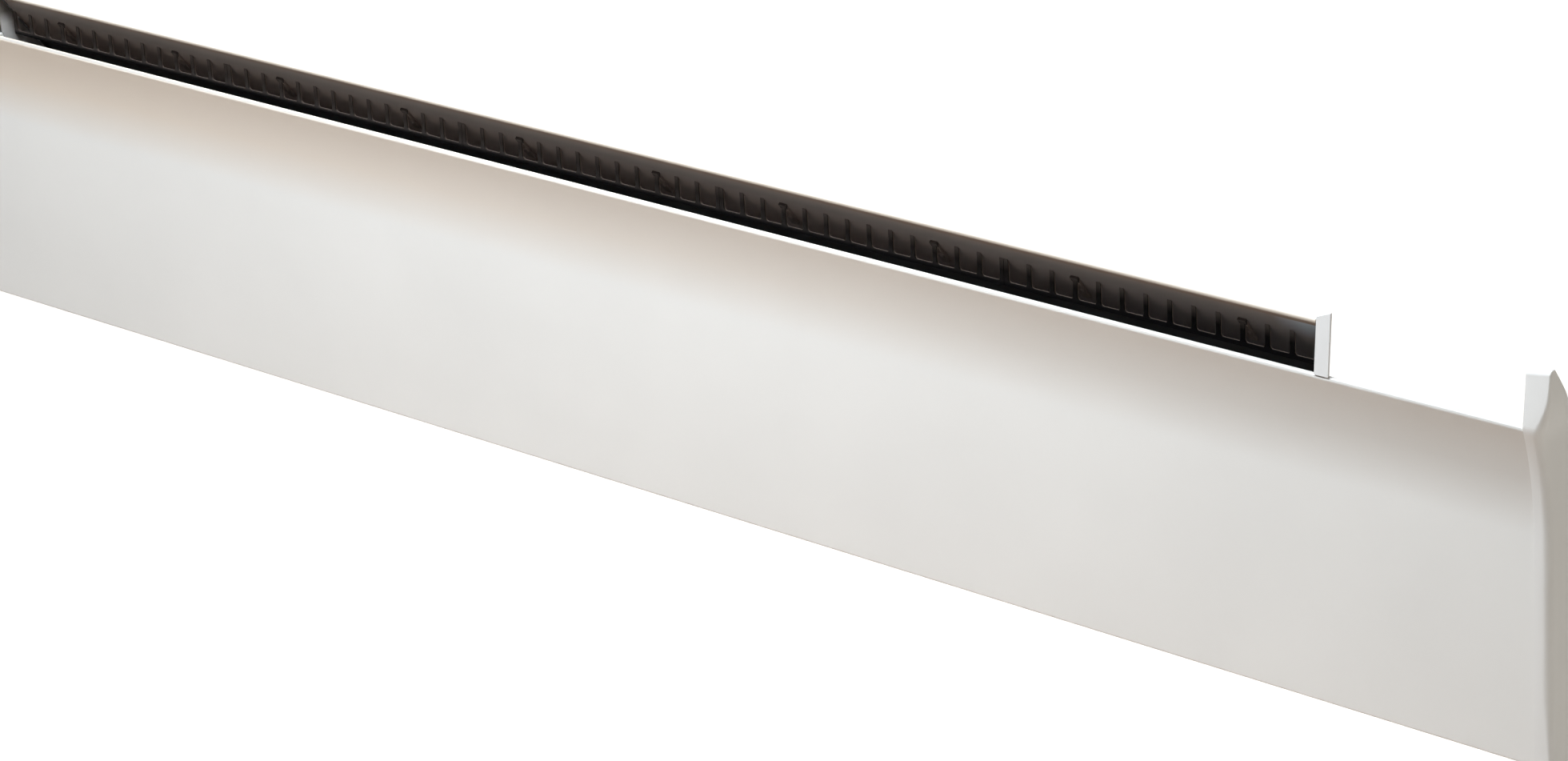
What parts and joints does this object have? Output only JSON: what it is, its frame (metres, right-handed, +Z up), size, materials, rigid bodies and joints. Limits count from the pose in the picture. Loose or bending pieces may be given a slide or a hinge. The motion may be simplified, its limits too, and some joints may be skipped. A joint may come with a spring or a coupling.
{
  "type": "panel heater",
  "caption": "Low wall-hung panel heater: flared steel front, grilled air slot under a sloping hood, end caps, finned element, control bay and hook-on wall bracket",
  "frame": {"origin": "centre of the wall bracket's four screw holes, on the wall plane", "axes": "X along the heater with the controls at +X, -Y out of the wall to the room, Z up"},
  "size_m": [1.228, 0.0906, 0.2286],
  "materials": {
    "white_paint": "satin",
    "cap_plastic": "fine satin grain",
    "deck_plastic": "fine grain",
    "dark_liner": "matte",
    "black_paint": "matte",
    "inlet_paint": "matte",
    "galvanised": "galvanised",
    "spring_steel": "satin",
    "zinc_screw": "bright zinc",
    "fin_aluminium": "mill finish",
    "element_steel": "dull",
    "ceramic_bush": "unglazed",
    "phenolic": "dull",
    "black_plastic": "fine grain",
    "board": "lacquered",
    "knob_plastic": "satin",
    "rocker_red": "polished",
    "amber_lens": "clear",
    "block_plastic": "satin",
    "lead_brown": "satin",
    "lead_blue": "satin",
    "lead_earth": "satin",
    "rubber": "matte"
  },
  "bodies": {
    "bracket": {"wall_bracket": "galvanised", "retaining_springs": "spring_steel"},
    "heater": {"front_panel": "white_paint", "rear_casing": "white_paint", "outlet_blank": "white_paint", "outlet_post": "white_paint", "air_cheek_left": "white_paint", "air_cheek_right": "white_paint", "end_cap_left": "cap_plastic", "end_cap_right": "cap_plastic", "control_deck": "deck_plastic", "hood_liner": "dark_liner", "outlet_grille_1": "black_paint", "outlet_grille_2": "black_paint", "outlet_grille_3": "black_paint", "outlet_grille_4": "black_paint", "outlet_grille_5": "black_paint", "grille_rivets": "black_paint", "inlet_grille": "inlet_paint", "heat_shield": "galvanised", "shield_spacers": "galvanised", "element_bracket_left": "galvanised", "element_bracket_middle": "galvanised", "element_bracket_right": "galvanised", "panel_screws": "zinc_screw", "casing_screws": "zinc_screw", "deck_screws": "zinc_screw", "element_terminals": "zinc_screw", "element_fins": "fin_aluminium", "element_rod": "element_steel", "element_bushes": "ceramic_bush", "thermal_cutout": "phenolic", "control_housing": "black_plastic", "switch_body": "black_plastic", "cable_gland": "black_plastic", "room_sensor": "black_plastic", "relay": "black_plastic", "potentiometer": "black_plastic", "control_board": "board", "light_pipe": "amber_lens", "indicator_led": "amber_lens", "terminal_block": "block_plastic", "live_lead": "lead_brown", "cutout_lead": "lead_brown", "neutral_lead": "lead_blue", "earth_lead": "lead_earth", "wall_bumpers": "rubber"},
    "knob": {"thermostat_knob": "knob_plastic", "knob_spindle": "zinc_screw"},
    "rocker": {"power_rocker": "rocker_red"}
  },
  "joints": [
    {"name": "heater_lift", "type": "slide", "parent": "bracket", "child": "heater", "axis": [0, 0, 1], "range_m": [0, 0.012]},
    {"name": "knob_turn", "type": "hinge", "parent": "heater", "child": "knob", "pos_m": [0.523, -0.05, 0.0875], "axis": [0, 0, 1], "range_deg": [-270, 0]},
    {"name": "rocker_tilt", "type": "hinge", "parent": "heater", "child": "rocker", "pos_m": [0.568, -0.05, 0.0815], "axis": [1, 0, 0], "range_deg": [0, 14]}
  ]
}
